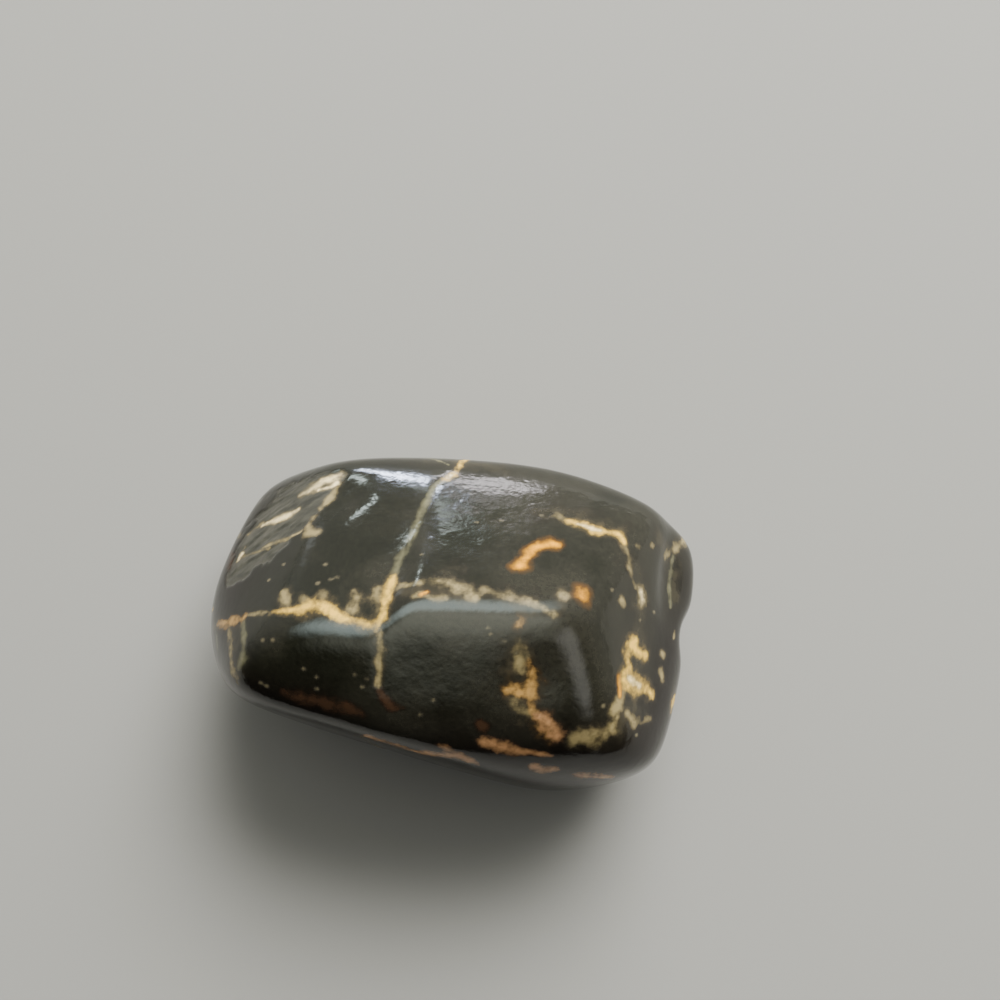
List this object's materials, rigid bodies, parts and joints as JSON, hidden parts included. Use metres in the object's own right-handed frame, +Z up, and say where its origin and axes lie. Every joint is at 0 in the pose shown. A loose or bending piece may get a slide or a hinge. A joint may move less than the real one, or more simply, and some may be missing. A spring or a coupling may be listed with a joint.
{
  "type": "tumbled agate stone",
  "caption": "Tumbled black agate with worn facets, a ridged top, a sloping end and a small flat spot to rest on.",
  "frame": {"origin": "under the middle of the stone, on the surface that it rests on", "axes": "+X along the stone's length towards the steep end with the lip, +Y towards the back, away from the camera, +Z up"},
  "size_m": [0.0298, 0.0198, 0.0151],
  "materials": {
    "agate": "polished"
  },
  "bodies": {
    "root": {"agate_stone": "agate"}
  },
  "joints": []
}
